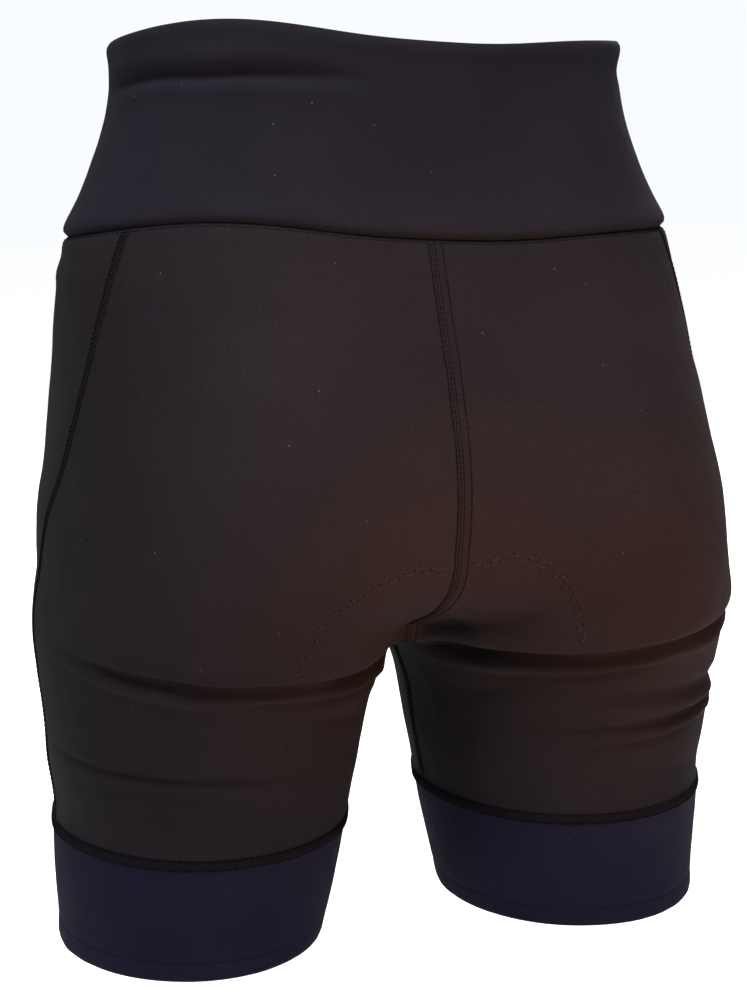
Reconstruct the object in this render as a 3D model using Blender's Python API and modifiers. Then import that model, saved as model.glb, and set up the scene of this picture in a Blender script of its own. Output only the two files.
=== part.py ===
"""Padded cycling shorts with a high waistband and gripper cuffs, in their worn hollow shape.
Metres, +Z up, front towards -Y, the wearer's left towards +X, origin in the waist opening."""

import math

import bmesh
import bpy
import numpy as np

# Heights of the seams and of the hem
BAND_SEAM = -0.096
CUFF_SEAM = -0.391
HEM = -0.454

# Cloth thicknesses, the gap at each seam, and how far a piece stands proud of the panels
BAND_WALL = 0.0022
BODY_WALL = 0.0013
CUFF_WALL = 0.0015
SEAM_GAP = 0.0003
BAND_PROUD = 0.0009
CUFF_PROUD = 0.0003
CUFF_SEAM_RIDGE = 0.0009

# The pad: thickness in the middle and at its edge, and how far it lifts the cloth
PAD_MIDDLE = 0.0075
PAD_EDGE = 0.0022
PAD_LIFT = 0.0010
PAD_BACK_TOP = -0.248
PAD_FRONT_TOP = -0.210
PAD_WING_END = -0.332

# Blend radius between the hips and the legs, and between the two legs
HIP_BLEND = 0.034
LEG_BLEND = 0.012
HIPS_BOTTOM = -0.288

# Height, half width, depth in front, depth behind
HIPS = (
    (0.010, 0.1290, 0.096, 0.095),
    (-0.030, 0.1298, 0.098, 0.092),
    (-0.065, 0.1413, 0.106, 0.094),
    (-0.096, 0.1552, 0.112, 0.101),
    (-0.130, 0.1600, 0.113, 0.114),
    (-0.165, 0.1597, 0.111, 0.129),
    (-0.200, 0.1602, 0.106, 0.138),
    (-0.235, 0.1607, 0.096, 0.135),
    (-0.257, 0.1485, 0.078, 0.125),
    (-0.275, 0.1190, 0.050, 0.092),
    (-0.288, 0.0850, 0.020, 0.046),
)
HIPS_SQUARENESS = 2.25

# Height, centre across, centre along, half width, half depth
LEG = (
    (0.010, 0.0400, 0.0000, 0.0300, 0.0400),
    (-0.070, 0.0550, 0.0000, 0.0500, 0.0600),
    (-0.120, 0.0660, 0.0030, 0.0690, 0.0865),
    (-0.165, 0.0735, 0.0093, 0.0800, 0.1102),
    (-0.205, 0.0790, 0.0153, 0.0850, 0.1273),
    (-0.250, 0.0846, 0.0155, 0.0910, 0.1305),
    (-0.285, 0.0905, 0.0122, 0.0905, 0.1200),
    (-0.310, 0.0942, 0.0094, 0.0855, 0.1094),
    (-0.335, 0.0959, 0.0075, 0.0812, 0.1020),
    (-0.357, 0.0971, 0.0060, 0.0790, 0.0958),
    (-0.378, 0.0978, 0.0050, 0.0758, 0.0910),
    (-0.400, 0.1000, 0.0042, 0.0742, 0.0875),
    (-0.420, 0.1018, 0.0034, 0.0720, 0.0840),
    (-0.440, 0.1037, 0.0028, 0.0695, 0.0808),
    (-0.470, 0.1078, 0.0010, 0.0667, 0.0770),
)

# Height, and the side seam's angle round the leg: 0 outwards, 90 behind
SIDE_SEAM = (
    (0.000, 29.0),
    (-0.096, 29.5),
    (-0.118, 28.0),
    (-0.150, 27.0),
    (-0.178, 23.0),
    (-0.205, 16.0),
    (-0.227, 9.0),
    (-0.252, 1.0),
    (-0.290, -3.0),
    (-0.391, -3.0),
)

# Height of each row of a panel
ROWS = (
    -0.096, -0.108, -0.121, -0.134, -0.147, -0.160, -0.173, -0.186, -0.198, -0.210, -0.223,
    -0.236, -0.248, -0.2555, -0.262, -0.268, -0.274, -0.280, -0.285, -0.290, -0.2945, -0.2985, -0.3015,
    -0.303, -0.308, -0.314, -0.322, -0.332, -0.3385, -0.345, -0.353, -0.362, -0.372, -0.382,
    -0.391,
)

# Height, then how far the pad's edge line runs from the inner edge of the back and the front
PAD_LINE = (
    (0.000, 0.042, 0.050),
    (-0.096, 0.055, 0.052),
    (-0.190, 0.058, 0.044),
    (-0.210, 0.054, 0.026),
    (-0.223, 0.050, 0.038),
    (-0.248, 0.041, 0.045),
    (-0.256, 0.054, 0.047),
    (-0.262, 0.063, 0.049),
    (-0.274, 0.078, 0.053),
    (-0.288, 0.096, 0.060),
    (-0.299, 0.112, 0.070),
    (-0.303, 0.122, 0.082),
    (-0.314, 0.092, 0.070),
    (-0.322, 0.066, 0.056),
    (-0.332, 0.044, 0.042),
    (-0.353, 0.055, 0.050),
    (-0.391, 0.058, 0.055),
)

# Angle round the waist, spread, lift, and the heights between which each wave of the band fades
WAVES = (
    (38, 30, 0.0100, -0.100, -0.210),
    (112, 20, -0.0017, -0.100, -0.180),
    (90, 110, -0.0050, 0.000, -0.070),
)

# Side, then angles and heights at a fold's start, middle and end, its half width and its rise
FOLDS = (
    (1, (25, 84, 140), (-0.279, -0.2925, -0.296), 0.0055, 0.0018),
    (1, (30, 88, 140), (-0.286, -0.3005, -0.303), 0.0058, -0.0024),
    (1, (20, 86, 130), (-0.293, -0.3075, -0.311), 0.0050, 0.0012),
    (1, (5, 62, 120), (-0.336, -0.339, -0.341), 0.0055, 0.0012),
    (1, (5, 60, 115), (-0.343, -0.3465, -0.3485), 0.0050, -0.0018),
    (1, (25, 75, 115), (-0.372, -0.373, -0.371), 0.0050, -0.0010),
    (-1, (30, 95, 155), (-0.277, -0.2905, -0.2935), 0.0055, 0.0020),
    (-1, (30, 95, 155), (-0.284, -0.2985, -0.302), 0.0056, -0.0028),
    (-1, (25, 95, 140), (-0.292, -0.3060, -0.3095), 0.0050, 0.0014),
    (-1, (10, 70, 110), (-0.335, -0.326, -0.322), 0.0050, -0.0022),
    (-1, (10, 72, 110), (-0.342, -0.334, -0.331), 0.0050, 0.0014),
    (-1, (20, 85, 130), (-0.334, -0.3415, -0.343), 0.0045, -0.0022),
    (-1, (20, 85, 130), (-0.341, -0.3485, -0.350), 0.0050, 0.0010),
    (-1, (30, 80, 120), (-0.374, -0.371, -0.373), 0.0050, -0.0010),
    (1, (-150, -105, -40), (-0.296, -0.279, -0.262), 0.0055, -0.0022),
    (1, (-145, -100, -35), (-0.306, -0.289, -0.271), 0.0060, 0.0014),
    (-1, (-150, -105, -40), (-0.297, -0.282, -0.264), 0.0055, -0.0020),
    (-1, (-145, -100, -35), (-0.307, -0.292, -0.274), 0.0060, 0.0014),
    (1, (-120, -70, -20), (-0.344, -0.341, -0.346), 0.0055, -0.0014),
    (-1, (-125, -75, -15), (-0.347, -0.344, -0.340), 0.0055, -0.0014),
    (1, (-30, 15, 60), (-0.104, -0.105, -0.108), 0.0035, -0.0012),
    (1, (-30, 10, 50), (-0.113, -0.115, -0.119), 0.0045, 0.0009),
    (-1, (-30, 15, 50), (-0.102, -0.104, -0.108), 0.0035, -0.0010),
    (1, (-25, 50, 120), (-0.030, -0.019, -0.021), 0.0050, -0.0015),
    (1, (-30, 50, 115), (-0.039, -0.029, -0.030), 0.0060, 0.0009),
    (-1, (-40, 10, 60), (-0.020, -0.018, -0.022), 0.0050, -0.0010),
)

# Steps from the inner edge to the pad's edge, and from there to the side seam
PAD_COLUMNS = 5
SIDE_COLUMNS = 8
TRACE_STEPS = 260

SURFACES = {
    "band_knit": ((0.023, 0.022, 0.027), 0.80),
    "body_knit": ((0.024, 0.019, 0.019), 0.85),
    "cuff_knit": ((0.014, 0.013, 0.030), 0.80),
    "pad_knit": ((0.030, 0.028, 0.030), 0.90),
}


def along(table, column, height):
    """A column of a table at these heights, on a smooth curve through its rows."""
    rows = np.array(sorted(table))
    at = np.clip(height, rows[0, 0], rows[-1, 0])
    value = rows[:, column]
    slope = np.gradient(value, rows[:, 0])
    first = np.clip(np.searchsorted(rows[:, 0], at) - 1, 0, len(rows) - 2)
    step = rows[first + 1, 0] - rows[first, 0]
    t = (at - rows[first, 0]) / step
    ease = t * t * (3 - 2 * t)
    return (
        value[first] * (1 - ease)
        + value[first + 1] * ease
        + step * slope[first] * t * (1 - t) ** 2
        - step * slope[first + 1] * t * t * (1 - t)
    )


def oval(across, along_y, half_width, half_depth, power):
    """How far a point is outside a rounded oval, negative within it."""
    x = np.abs(across) + 1e-9
    y = np.abs(along_y) + 1e-9
    size = ((x / half_width) ** power + (y / half_depth) ** power) ** (1 / power)
    slope_x = size ** (1 - power) * x ** (power - 1) / half_width**power
    slope_y = size ** (1 - power) * y ** (power - 1) / half_depth**power
    return (size - 1) / np.hypot(slope_x, slope_y)


def blend(first, second, radius):
    """The smaller of two distances, rounded where they are nearly equal."""
    near = np.maximum(radius - np.abs(first - second), 0) / radius
    return np.minimum(first, second) - near * near * radius / 4


def outside(points):
    """Distance of points from the worn form, negative inside it."""
    x, y, z = points[..., 0], points[..., 1], points[..., 2]
    depth = np.where(y < 0, along(HIPS, 2, z), along(HIPS, 3, z))
    hips = np.maximum(oval(x, y, along(HIPS, 1, z), depth, HIPS_SQUARENESS), HIPS_BOTTOM - z)
    centre_x, centre_y = along(LEG, 1, z), along(LEG, 2, z)
    half_width, half_depth = along(LEG, 3, z), along(LEG, 4, z)
    left = oval(x - centre_x, y - centre_y, half_width, half_depth, 2)
    right = oval(x + centre_x, y - centre_y, half_width, half_depth, 2)
    return blend(hips, blend(left, right, LEG_BLEND), HIP_BLEND)


def normals(points):
    """The direction straight out of the form at points."""
    step = 0.0004
    slope = np.empty_like(points)
    for axis in range(3):
        move = np.zeros(3)
        move[axis] = step
        slope[..., axis] = outside(points + move) - outside(points - move)
    return slope / np.linalg.norm(slope, axis=-1, keepdims=True)


def lowest_middle():
    """The crotch point: the lowest place of the form on the middle plane."""
    y, z = np.meshgrid(np.linspace(-0.06, 0.08, 141), np.linspace(-0.26, -0.36, 401))
    inside = outside(np.stack([y * 0, y, z], -1)) < 0
    row = np.nonzero(inside.any(1))[0].max()
    return y[row][inside[row]].mean(), z[row, 0]


CROTCH_Y, CROTCH_Z = lowest_middle()


def middle_depth(height, sign):
    """Where the middle plane leaves the form behind (+1) or in front (-1)."""
    low = np.full_like(height, CROTCH_Y)
    high = np.full_like(height, 0.3 * sign)
    for _ in range(44):
        half = (low + high) / 2
        within = outside(np.stack([half * 0, half, height], -1)) < 0
        low = np.where(within, half, low)
        high = np.where(within, high, half)
    return low


def cast(centre, angle):
    """Where level rays from the centres leave the form, stopping at the middle plane."""
    way = np.stack([np.cos(angle), np.sin(angle), angle * 0], -1)
    reach = np.where(way[..., 0] < -1e-6, -centre[..., 0] / np.minimum(way[..., 0], -1e-6), 0.3)
    low = angle * 0
    high = np.minimum(reach, 0.3)
    for _ in range(44):
        half = (low + high) / 2
        within = outside(centre + way * half[..., None]) < 0
        low = np.where(within, half, low)
        high = np.where(within, high, half)
    return centre + way * low[..., None]


def leg_centre(height):
    """A point inside the left leg at these heights, for casting rays from."""
    x = along(LEG, 1, height)
    y = np.interp(height, (HEM, CROTCH_Z), (along(LEG, 2, np.array(HEM)), CROTCH_Y))
    return np.stack([x, y + x * 0, height + x * 0], -1)


def half_row(height, sign):
    """A level line over the left half, from its inner edge to the side seam."""
    centre = leg_centre(np.array([height]))[0]
    inner = math.pi * sign
    if height > CROTCH_Z:
        edge = middle_depth(np.array([height]), sign)[0]
        inner = math.atan2(edge - centre[1], -centre[0])
    seam = math.radians(along(SIDE_SEAM, 1, np.array(height)))
    angle = np.linspace(inner, seam, TRACE_STEPS)
    return cast(np.broadcast_to(centre, (TRACE_STEPS, 3)), angle)


def fold_rise(points):
    """How far the folds lift the cloth at points, negative in a crease."""
    x, y, z = points[..., 0], points[..., 1], points[..., 2]
    centre = leg_centre(z)
    angle = np.degrees(np.arctan2(y - centre[..., 1], np.abs(x) - centre[..., 0]))
    off_middle = np.clip(np.abs(x) / 0.012, 0, 1) ** 2
    rise = angle * 0
    for which, angles, heights, width, lift in FOLDS:
        line = np.polyval(np.polyfit(angles, heights, 2), angle)
        first, last = min(angles), max(angles)
        ends = np.clip(np.minimum(angle - first, last - angle) / (0.32 * (last - first)), 0, 1)
        across = np.exp(-(((z - line) / width) ** 2))
        rise += lift * across * ends * ends * (3 - 2 * ends) * off_middle * (x * which > 0)
    return rise + CUFF_SEAM_RIDGE * np.exp(-(((z - CUFF_SEAM) / 0.003) ** 2))


def settled(grid):
    """The grid with the band's waves, moved level onto the form again."""
    angle = np.degrees(np.arctan2(grid[..., 1], grid[..., 0]))
    moved = grid.copy()
    for centre, spread, lift, top, bottom in WAVES:
        fade = np.clip((grid[..., 2] - bottom) / (top - bottom), 0, 1)
        apart = (angle - centre + 180) % 360 - 180
        near = np.exp(-((apart / spread) ** 2))
        moved[..., 2] += lift * near * fade * fade * (3 - 2 * fade)
    for _ in range(4):
        level = normals(moved)[..., :2]
        level /= np.linalg.norm(level, axis=-1, keepdims=True) + 1e-3
        moved[..., :2] -= level * outside(moved)[..., None]
    return moved


def wall(grid, thickness, proud):
    """Outer and inner faces of a cloth piece, moved along the shared normals of its grid."""
    out = normals(grid)
    for row in (0, -1):
        out[row, :, 2] = 0
        out[row] /= np.linalg.norm(out[row], axis=-1, keepdims=True)
    lift = (proud + fold_rise(grid))[..., None]
    return grid + out * lift, grid + out * (lift - thickness)


def cell_triangles(a, columns, beside, turned):
    """The two triangles of a grid cell, split so that they follow the rows round the crotch."""
    b, c, d = beside, beside + columns, a + columns
    return ((a, b, d), (b, c, d)) if turned else ((a, b, c), (a, c, d))


def closed_mesh(name, outer, inner, ring, turned=False):
    """One closed body from matching outer and inner grids, joined round their edges."""
    rows, columns = outer.shape[:2]
    size = rows * columns
    points = np.concatenate([outer.reshape(-1, 3), inner.reshape(-1, 3)])
    faces = []
    for row in range(rows - 1):
        for column in range(columns if ring else columns - 1):
            beside = (column + 1) % columns
            a, b = row * columns + column, row * columns + beside
            for face in cell_triangles(a, columns, b, turned):
                faces.append(face)
                faces.append([corner + size for corner in face[::-1]])
    for row, flip in ((0, False), (rows - 1, True)):
        for column in range(columns if ring else columns - 1):
            beside = (column + 1) % columns
            a, b = row * columns + column, row * columns + beside
            face = (b, a, a + size, b + size)
            faces.append(face[::-1] if flip else face)
    for column, flip in () if ring else ((0, True), (columns - 1, False)):
        for row in range(rows - 1):
            a, b = row * columns + column, (row + 1) * columns + column
            face = (b, a, a + size, b + size)
            faces.append(face[::-1] if flip else face)
    mesh = bpy.data.meshes.new(name)
    mesh.from_pydata(points.tolist(), [], faces)
    return mesh


def mirrored(grid):
    """The same grid on the wearer's right, with its columns turned round."""
    return (grid * (-1, 1, 1))[:, ::-1]


def panel_row(height, sign, gap):
    """One row of a left panel, from its inner edge past the pad's edge line to the side seam."""
    line = half_row(height, sign)
    run = np.concatenate([[0], np.cumsum(np.linalg.norm(np.diff(line, axis=0), axis=1))])
    pad_edge = along(PAD_LINE, 1 if sign > 0 else 2, np.array(height))
    at = np.concatenate(
        [
            np.linspace(gap * 0.6, pad_edge, PAD_COLUMNS + 1),
            np.linspace(pad_edge, run[-1] - gap / 2, SIDE_COLUMNS + 1)[1:],
        ]
    )
    return np.stack([np.interp(at, run, line[:, axis]) for axis in range(3)], -1)


def panel_heights():
    """Heights of the panel rows, with half the seam gap left at the top and the bottom."""
    heights = np.array(ROWS)
    heights[np.argmin(np.abs(heights - CROTCH_Z))] = CROTCH_Z
    heights[0] -= SEAM_GAP / 2
    heights[-1] += SEAM_GAP / 2
    return heights


def panel_faces(sign, side, gap):
    """Outer and inner points of a back (+1) or front (-1) panel, columns running clockwise."""
    grid = np.array([panel_row(height, sign, gap) for height in panel_heights()])
    if sign < 0:
        grid = grid[:, ::-1]
    if side < 0:
        grid = mirrored(grid)
    grid = settled(grid)
    outer, inner = wall(grid, BODY_WALL, 0.0)
    lift = pad_cover(sign)
    if (sign < 0) != (side < 0):
        lift = lift[:, ::-1]
    bulge = normals(grid) * (lift * PAD_LIFT)[..., None]
    return outer + bulge, inner + bulge


def pad_rows(sign):
    """First and last panel row that the pad covers, behind (+1) or in front (-1)."""
    top = PAD_BACK_TOP if sign > 0 else PAD_FRONT_TOP
    return ROWS.index(top), ROWS.index(PAD_WING_END)


def pad_cover(sign):
    """Weight of the pad at each panel point: 1 over its middle, 0 at its edge and beyond."""
    first, last = pad_rows(sign)
    row = np.arange(len(ROWS))
    down = np.clip(np.minimum(row - first, last - row) / 2.5, 0, 1)
    column = np.arange(PAD_COLUMNS + SIDE_COLUMNS + 1)
    across = np.clip((PAD_COLUMNS - column) / 2.5, 0, 1)
    cover = np.outer(down, across)
    return cover * cover * (3 - 2 * cover)


def add_object(name, mesh, slot, collection):
    mesh.validate()
    mesh.materials.append(bpy.data.materials[slot])
    node = bpy.data.objects.new(name, mesh)
    collection.objects.link(node)
    return node


def add_panel(name, sign, side, collection):
    """A back or front panel of one side, kept half a gap off the middle plane."""
    faces = []
    for points in panel_faces(sign, side, SEAM_GAP):
        points[..., 0] = side * np.maximum(side * points[..., 0], SEAM_GAP / 2)
        faces.append(points)
    turned = (sign < 0) != (side < 0)
    add_object(name, closed_mesh(name, *faces, False, turned), "body_knit", collection)


def left_half(height):
    """A level line over the left half from behind to the front, in the panels' columns."""
    back = panel_row(height, 1, 0)
    front = panel_row(height, -1, 0)[::-1]
    return np.concatenate([back, front[1:]])


def add_waistband(collection):
    """The folded-over band round the waist."""
    heights = (0.0, -0.005, -0.012, -0.020, -0.029, -0.041, -0.056, -0.073, -0.087, BAND_SEAM)
    rows = []
    for height in heights:
        half = left_half(height + (SEAM_GAP / 2 if height == BAND_SEAM else 0))
        rows.append(np.concatenate([half, (half * (-1, 1, 1))[-2:0:-1]]))
    outer, inner = wall(settled(np.array(rows)), BAND_WALL, BAND_PROUD)
    add_object("waistband", closed_mesh("waistband", outer, inner, True), "band_knit", collection)


def add_cuff(name, side, collection):
    """The gripper cuff round the bottom of one leg."""
    heights = np.linspace(CUFF_SEAM - SEAM_GAP / 2, HEM, 6)
    grid = np.array([left_half(height)[:-1] for height in heights])
    if side < 0:
        grid = mirrored(grid)
    outer, inner = wall(grid, CUFF_WALL, CUFF_PROUD)
    add_object(name, closed_mesh(name, outer, inner, True), "cuff_knit", collection)


def add_pad(collection):
    """The pad inside the seat, laid a gap off the inner faces of the four panels."""
    mesh = bmesh.new()
    weights = mesh.verts.layers.deform.verify()
    for sign in (1, -1):
        first, last = pad_rows(sign)
        for side in (1, -1):
            inner = panel_faces(sign, side, 0)[1]
            cover = pad_cover(sign)
            turned = (sign < 0) != (side < 0)
            if turned:
                cover = cover[:, ::-1]
                inner, cover = inner[:, -PAD_COLUMNS - 1 :], cover[:, -PAD_COLUMNS - 1 :]
            else:
                inner, cover = inner[:, : PAD_COLUMNS + 1], cover[:, : PAD_COLUMNS + 1]
            inner, cover = inner[first : last + 1], cover[first : last + 1]
            inner = inner - normals(inner) * SEAM_GAP
            corners = []
            for point, weight in zip(inner.reshape(-1, 3), cover.ravel()):
                corner = mesh.verts.new(point)
                corner[weights][0] = weight
                corners.append(corner)
            columns = PAD_COLUMNS + 1
            for row in range(last - first):
                for column in range(PAD_COLUMNS):
                    a = row * columns + column
                    for face in cell_triangles(a, columns, a + 1, turned):
                        mesh.faces.new([corners[i] for i in face])
    bmesh.ops.remove_doubles(mesh, verts=mesh.verts, dist=0.00005)
    data = bpy.data.meshes.new("chamois_pad")
    mesh.to_mesh(data)
    mesh.free()
    pad = add_object("chamois_pad", data, "pad_knit", collection)
    pad.vertex_groups.new(name="middle")
    thicken = pad.modifiers.new("thickness", "SOLIDIFY")
    thicken.thickness = PAD_MIDDLE
    thicken.offset = -1
    thicken.vertex_group = "middle"
    thicken.thickness_vertex_group = PAD_EDGE / PAD_MIDDLE


def add_materials():
    for slot, (color, roughness) in SURFACES.items():
        material = bpy.data.materials.new(slot)
        material.use_nodes = True
        shader = material.node_tree.nodes["Principled BSDF"]
        shader.inputs["Base Color"].default_value = (*color, 1)
        shader.inputs["Roughness"].default_value = roughness


def main():
    for node in list(bpy.data.objects):
        bpy.data.objects.remove(node, do_unlink=True)
    collection = bpy.data.collections.new("cycling_shorts")
    bpy.context.scene.collection.children.link(collection)
    add_materials()
    add_waistband(collection)
    for side, word in ((1, "left"), (-1, "right")):
        add_panel("back_" + word, 1, side, collection)
        add_panel("front_" + word, -1, side, collection)
        add_cuff("cuff_" + word, side, collection)
    add_pad(collection)


main()
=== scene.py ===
import math

import bpy
import numpy as np
from mathutils import Matrix, Vector
from mathutils.bvhtree import BVHTree


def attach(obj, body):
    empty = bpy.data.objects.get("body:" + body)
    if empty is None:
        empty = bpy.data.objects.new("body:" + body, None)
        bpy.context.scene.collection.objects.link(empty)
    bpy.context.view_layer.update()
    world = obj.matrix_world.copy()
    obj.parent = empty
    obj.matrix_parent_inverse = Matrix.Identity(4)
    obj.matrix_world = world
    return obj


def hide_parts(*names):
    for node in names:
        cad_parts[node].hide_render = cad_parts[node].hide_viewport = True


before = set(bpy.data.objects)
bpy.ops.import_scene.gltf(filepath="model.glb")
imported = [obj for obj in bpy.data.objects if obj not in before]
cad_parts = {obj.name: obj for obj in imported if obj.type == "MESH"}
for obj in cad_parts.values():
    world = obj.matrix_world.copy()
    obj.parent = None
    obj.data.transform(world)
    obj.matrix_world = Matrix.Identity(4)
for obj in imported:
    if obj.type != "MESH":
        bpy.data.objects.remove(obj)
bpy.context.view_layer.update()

print("frame loaded")

# ---- the worn form: the same sections as the solids, all in metres ----

form = {
    "bandSeam": -0.096,
    "cuffSeam": -0.391,
    "hem": -0.454,
    "hipBlend": 0.034,  # rounding between the hips and the legs
    "legBlend": 0.012,  # rounding between the legs, at the crotch
    "hipsBottom": -0.288,
    "hipsSquareness": 2.25,
    # height, half width, depth in front, depth behind
    "hips": (
        (0.010, 0.1290, 0.096, 0.095),
        (-0.030, 0.1298, 0.098, 0.092),
        (-0.065, 0.1413, 0.106, 0.094),
        (-0.096, 0.1552, 0.112, 0.101),
        (-0.130, 0.1600, 0.113, 0.114),
        (-0.165, 0.1597, 0.111, 0.129),
        (-0.200, 0.1602, 0.106, 0.138),
        (-0.235, 0.1607, 0.096, 0.135),
        (-0.257, 0.1485, 0.078, 0.125),
        (-0.275, 0.1190, 0.050, 0.092),
        (-0.288, 0.0850, 0.020, 0.046),
    ),
    # height, centre across, centre along, half width, half depth
    "leg": (
        (0.010, 0.0400, 0.0000, 0.0300, 0.0400),
        (-0.070, 0.0550, 0.0000, 0.0500, 0.0600),
        (-0.120, 0.0660, 0.0030, 0.0690, 0.0865),
        (-0.165, 0.0735, 0.0093, 0.0800, 0.1102),
        (-0.205, 0.0790, 0.0153, 0.0850, 0.1273),
        (-0.250, 0.0846, 0.0155, 0.0910, 0.1305),
        (-0.285, 0.0905, 0.0122, 0.0905, 0.1200),
        (-0.310, 0.0942, 0.0094, 0.0855, 0.1094),
        (-0.335, 0.0959, 0.0075, 0.0812, 0.1020),
        (-0.357, 0.0971, 0.0060, 0.0790, 0.0958),
        (-0.378, 0.0978, 0.0050, 0.0758, 0.0910),
        (-0.400, 0.1000, 0.0042, 0.0742, 0.0875),
        (-0.420, 0.1018, 0.0034, 0.0720, 0.0840),
        (-0.440, 0.1037, 0.0028, 0.0695, 0.0808),
        (-0.470, 0.1078, 0.0010, 0.0667, 0.0770),
    ),
    # height, side seam's angle round the leg: 0 outwards, 90 behind
    "sideSeam": (
        (0.000, 29.5), (-0.096, 29.5), (-0.107, 29.2), (-0.118, 28.7), (-0.134, 27.7), (-0.150, 26.3),
        (-0.164, 24.7), (-0.178, 22.6), (-0.192, 19.8), (-0.205, 16.4), (-0.216, 13.0), (-0.227, 9.2),
        (-0.240, 4.9), (-0.252, 1.4), (-0.265, -0.9), (-0.278, -2.3), (-0.290, -3.0), (-0.391, -3.0),
    ),
    # heights of the panels' main rows
    "rows": (
        -0.096, -0.108, -0.121, -0.134, -0.147, -0.160, -0.173, -0.186, -0.198, -0.210, -0.223,
        -0.236, -0.248, -0.2555, -0.262, -0.268, -0.274, -0.280, -0.285, -0.290, -0.2945, -0.2985, -0.3015,
        -0.303, -0.308, -0.314, -0.322, -0.332, -0.3385, -0.345, -0.353, -0.362, -0.372, -0.382,
        -0.391,
    ),
    # height, then the pad's edge from the inner edge of the back and of the front
    "padLine": (
        (0.000, 0.042, 0.050),
        (-0.096, 0.055, 0.052),
        (-0.190, 0.058, 0.044),
        (-0.210, 0.054, 0.026),
        (-0.223, 0.050, 0.038),
        (-0.248, 0.041, 0.045),
        (-0.256, 0.054, 0.047),
        (-0.262, 0.063, 0.049),
        (-0.274, 0.078, 0.053),
        (-0.288, 0.096, 0.060),
        (-0.299, 0.112, 0.070),
        (-0.303, 0.122, 0.082),
        (-0.314, 0.092, 0.070),
        (-0.322, 0.066, 0.056),
        (-0.332, 0.044, 0.042),
        (-0.353, 0.055, 0.050),
        (-0.391, 0.058, 0.055),
    ),
    # angle round the waist, spread, lift, heights between which it fades
    "waves": ((38, 30, 0.0100, -0.100, -0.210), (112, 20, -0.0017, -0.100, -0.180), (90, 110, -0.0050, 0.000, -0.070)),
}

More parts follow.
